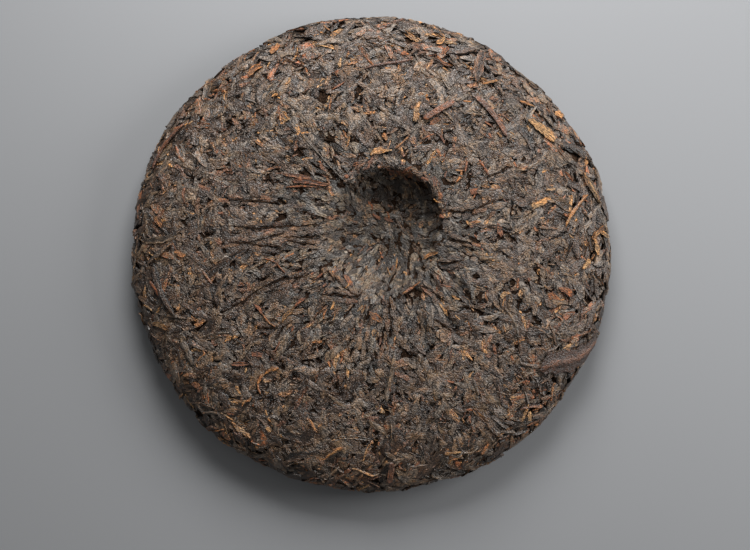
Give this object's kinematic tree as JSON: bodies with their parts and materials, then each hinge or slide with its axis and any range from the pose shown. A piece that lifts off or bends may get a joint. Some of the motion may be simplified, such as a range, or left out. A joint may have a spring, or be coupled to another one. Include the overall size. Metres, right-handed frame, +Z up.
{
  "type": "pu erh tea cake",
  "caption": "Round pressed cake of dark ripe tea leaves, lying flat, with an off-centre knot dimple and fine pleats on its upper face.",
  "frame": {"origin": "on the surface that the cake lies on, under the middle of its outline", "axes": "+Z up out of the face with the knot dimple, +Y towards the steep wall of the dimple, which is upwards in the picture, +X to the right in the picture"},
  "size_m": [0.1982, 0.198, 0.0254],
  "materials": {
    "pressed_leaf": "dry pressed tea leaf, dark brown with tan and rust flecks, low sheen"
  },
  "bodies": {
    "root": {"tea_cake": "pressed_leaf"}
  },
  "joints": []
}
